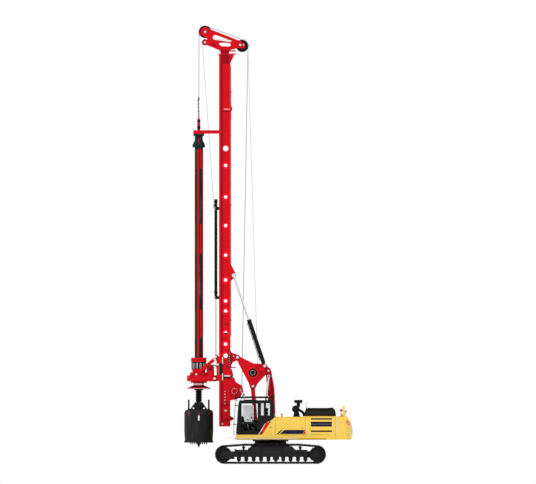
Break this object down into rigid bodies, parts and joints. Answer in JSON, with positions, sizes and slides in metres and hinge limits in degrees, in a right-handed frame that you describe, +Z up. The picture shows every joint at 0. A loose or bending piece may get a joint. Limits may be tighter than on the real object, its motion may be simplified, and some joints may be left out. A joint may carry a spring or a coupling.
{
  "type": "rotary piling rig",
  "caption": "Tracked rotary drilling rig: slewing deck with cab and counterweight, parallelogram linkage, tall mast, rotary drive, kelly bar and drilling bucket.",
  "frame": {"origin": "on the ground, on the slew axis at the middle of the tracks", "axes": "+Z up, front of the machine to -X, cab side to -Y"},
  "size_m": [7.748, 4.2, 20.1801],
  "materials": {
    "red": "gloss",
    "yellow": "gloss",
    "cab_grey": "satin",
    "black_steel": "satin",
    "track_steel": "matt",
    "cast_weight": "gloss",
    "rod_chrome": "polished",
    "window": "clear",
    "seat_cover": "matt",
    "bucket_steel": "matt",
    "kelly_steel": "satin"
  },
  "bodies": {
    "undercarriage": {"car_body": "black_steel", "slew_ring": "black_steel", "track_left": "track_steel", "track_right": "track_steel", "track_frame_left": "black_steel", "track_frame_right": "black_steel", "track_rollers": "black_steel", "track_wheels": "black_steel"},
    "upper": {"deck_frame": "yellow", "linkage_bracket": "yellow", "cab_shell": "cab_grey", "cab_glass": "window", "roof_guard": "cab_grey", "operator_seat": "seat_cover", "control_console": "seat_cover", "engine_housing": "yellow", "side_panel": "yellow", "engine_block": "black_steel", "air_cleaner": "black_steel", "fuel_tank": "yellow", "counterweight": "cast_weight", "rear_post": "yellow"},
    "cab_door": {"cab_door": "cab_grey", "cab_door_glass": "window"},
    "service_door_left": {"service_door_left": "yellow"},
    "radiator_door_left": {"radiator_door_left": "yellow"},
    "pump_door_right": {"pump_door_right": "yellow"},
    "engine_hood": {"engine_hood": "black_steel"},
    "boom": {"boom": "red"},
    "front_link": {"front_link": "red"},
    "luff_barrels": {"luff_cylinder_barrels": "black_steel"},
    "luff_rods": {"luff_cylinder_rods": "rod_chrome"},
    "triangle": {"triangle_frame": "red"},
    "aux_winch": {"aux_winch_drum": "black_steel"},
    "mast_barrels": {"mast_cylinder_barrels": "black_steel"},
    "mast_rods": {"mast_cylinder_rods": "rod_chrome"},
    "mast": {"mast_column": "red", "mast_head": "red", "crowd_cylinder": "black_steel"},
    "main_winch": {"main_winch_drum": "black_steel"},
    "main_sheave": {"main_sheave": "black_steel"},
    "aux_sheave": {"aux_sheave": "black_steel"},
    "rear_sheaves": {"rear_sheaves": "black_steel"},
    "rotary_drive": {"drive_carriage": "red", "drive_gearbox": "red", "crowd_rod": "rod_chrome"},
    "drive_sleeve": {"drive_sleeve": "red"},
    "kelly_guide": {"kelly_guide": "red"},
    "kelly": {"kelly_bar": "kelly_steel", "kelly_spring": "black_steel", "bucket_shell": "bucket_steel"},
    "bucket_gate": {"bucket_gate": "bucket_steel"}
  },
  "joints": [
    {"name": "slew", "type": "hinge", "parent": "undercarriage", "child": "upper", "pos_m": [0, 0, 0], "axis": [0, 0, 1], "continuous": true},
    {"name": "boom_luff", "type": "hinge", "parent": "upper", "child": "boom", "pos_m": [0.069, 0, 2.201], "axis": [0, 1, 0], "range_deg": [-19, 12]},
    {"name": "link_swing", "type": "hinge", "parent": "upper", "child": "front_link", "pos_m": [-0.644, 0, 1.474], "axis": [0, 1, 0], "range_deg": [-19.1, 12.1]},
    {"name": "luff_cylinder_swing", "type": "hinge", "parent": "upper", "child": "luff_barrels", "pos_m": [-0.383, 0, 1.48], "axis": [0, 1, 0], "range_deg": [-13.47, 8.53]},
    {"name": "luff_cylinder_stroke", "type": "slide", "parent": "luff_barrels", "child": "luff_rods", "axis": [0.1163, 0, 0.9932], "range_m": [-0.1266, 0.0802]},
    {"name": "triangle_level", "type": "hinge", "parent": "boom", "child": "triangle", "pos_m": [-0.106, 0, 4.301], "axis": [0, 1, 0], "range_deg": [-12.1, 19.1]},
    {"name": "aux_winch_turn", "type": "hinge", "parent": "triangle", "child": "aux_winch", "pos_m": [-0.81, 0, 4.209], "axis": [0, 1, 0], "continuous": true},
    {"name": "mast_cylinder_swing", "type": "hinge", "parent": "triangle", "child": "mast_barrels", "pos_m": [-0.271, 0, 4.513], "axis": [0, 1, 0], "range_deg": [-5.44, 96.18]},
    {"name": "mast_cylinder_stroke", "type": "slide", "parent": "mast_barrels", "child": "mast_rods", "axis": [-0.3208, 0, 0.9472], "range_m": [-1.8191, 0.103]},
    {"name": "mast_tilt", "type": "hinge", "parent": "triangle", "child": "mast", "pos_m": [-1.518, 0, 4.913], "axis": [0, 1, 0], "range_deg": [-5, 90]},
    {"name": "main_winch_turn", "type": "hinge", "parent": "mast", "child": "main_winch", "pos_m": [-1.665, 0, 3.349], "axis": [0, 1, 0], "continuous": true},
    {"name": "main_sheave_turn", "type": "hinge", "parent": "mast", "child": "main_sheave", "pos_m": [-3.013, 0, 19.89], "axis": [0, 1, 0], "continuous": true},
    {"name": "aux_sheave_turn", "type": "hinge", "parent": "mast", "child": "aux_sheave", "pos_m": [-3.013, 0, 19.407], "axis": [0, 1, 0], "continuous": true},
    {"name": "rear_sheave_turn", "type": "hinge", "parent": "mast", "child": "rear_sheaves", "pos_m": [-1.302, 0, 19.242], "axis": [0, 1, 0], "continuous": true},
    {"name": "crowd_travel", "type": "slide", "parent": "mast", "child": "rotary_drive", "axis": [0, 0, 1], "range_m": [-2.2, 2.3]},
    {"name": "sleeve_turn", "type": "hinge", "parent": "rotary_drive", "child": "drive_sleeve", "pos_m": [-3.3, 0, 4], "axis": [0, 0, 1], "continuous": true},
    {"name": "kelly_hoist", "type": "slide", "parent": "rotary_drive", "child": "kelly_guide", "axis": [0, 0, 1], "range_m": [-9.6, 0.35]},
    {"name": "kelly_turn", "type": "hinge", "parent": "kelly_guide", "child": "kelly", "pos_m": [-3.3, 0, 4], "axis": [0, 0, 1], "continuous": true},
    {"name": "bucket_gate_swing", "type": "hinge", "parent": "kelly", "child": "bucket_gate", "pos_m": [-3.3, 0.692, 1.005], "axis": [1, 0, 0], "range_deg": [0, 60]},
    {"name": "cab_door_swing", "type": "hinge", "parent": "upper", "child": "cab_door", "pos_m": [-0.506, -1.502, 2], "axis": [0, 0, 1], "range_deg": [0, 160]},
    {"name": "service_door_left_swing", "type": "hinge", "parent": "upper", "child": "service_door_left", "pos_m": [1.609, -1.52, 1.8], "axis": [0, 0, 1], "range_deg": [0, 110]},
    {"name": "radiator_door_left_swing", "type": "hinge", "parent": "upper", "child": "radiator_door_left", "pos_m": [2.969, -1.52, 1.8], "axis": [0, 0, 1], "range_deg": [0, 110]},
    {"name": "pump_door_right_swing", "type": "hinge", "parent": "upper", "child": "pump_door_right", "pos_m": [2.969, 1.52, 1.8], "axis": [0, 0, -1], "range_deg": [0, 110]},
    {"name": "hood_lift", "type": "hinge", "parent": "upper", "child": "engine_hood", "pos_m": [3.012, 0, 2.212], "axis": [0, 1, 0], "range_deg": [0, 60]}
  ],
  "couplings": [
    {"joint": "link_swing", "follows": "boom_luff", "ratio": 1},
    {"joint": "luff_cylinder_swing", "follows": "boom_luff", "ratio": 0.7053},
    {"joint": "luff_cylinder_stroke", "follows": "boom_luff", "m_per_rad": 0.3797},
    {"joint": "triangle_level", "follows": "boom_luff", "ratio": -1},
    {"joint": "mast_cylinder_swing", "follows": "mast_tilt", "ratio": 1.0675},
    {"joint": "mast_cylinder_stroke", "follows": "mast_tilt", "m_per_rad": -1.1568},
    {"joint": "kelly_turn", "follows": "sleeve_turn", "ratio": 1}
  ]
}
